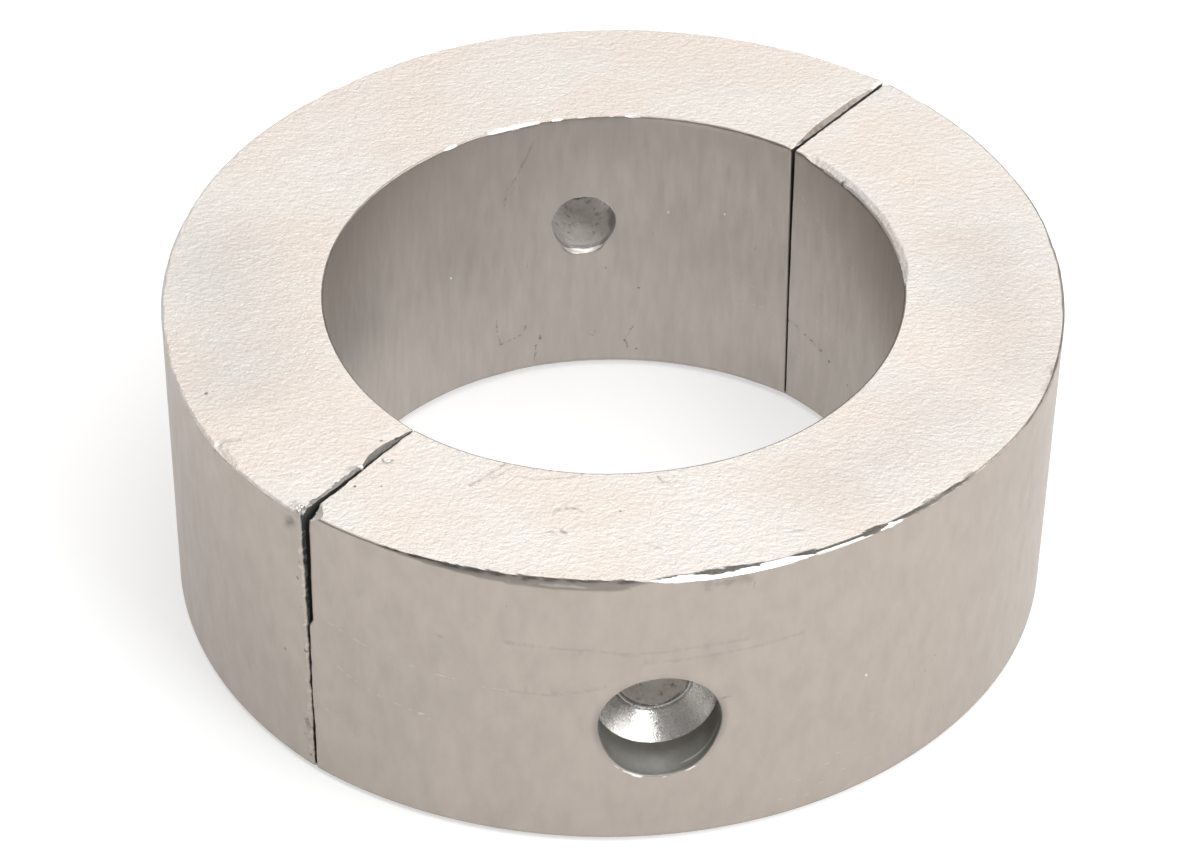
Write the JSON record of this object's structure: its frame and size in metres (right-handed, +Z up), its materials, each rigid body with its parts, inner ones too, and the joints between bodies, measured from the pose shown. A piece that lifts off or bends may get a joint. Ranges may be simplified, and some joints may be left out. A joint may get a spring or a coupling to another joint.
{
  "type": "sacrificial anode",
  "caption": "Thick zinc ring anode cast in matching halves, each with a radial screw hole in a coned seat, that closes round a drive leg or shaft.",
  "frame": {"origin": "centre of the ring at its bottom face", "axes": "+Z up along the ring's axis; the screw holes lie along Y, and the split runs at 45 degrees to them"},
  "size_m": [0.1226, 0.1226, 0.0457],
  "materials": {
    "cast_zinc": "satin cast zinc with grainy end faces"
  },
  "bodies": {
    "root": {"front_half": "cast_zinc", "rear_half": "cast_zinc"}
  },
  "joints": []
}
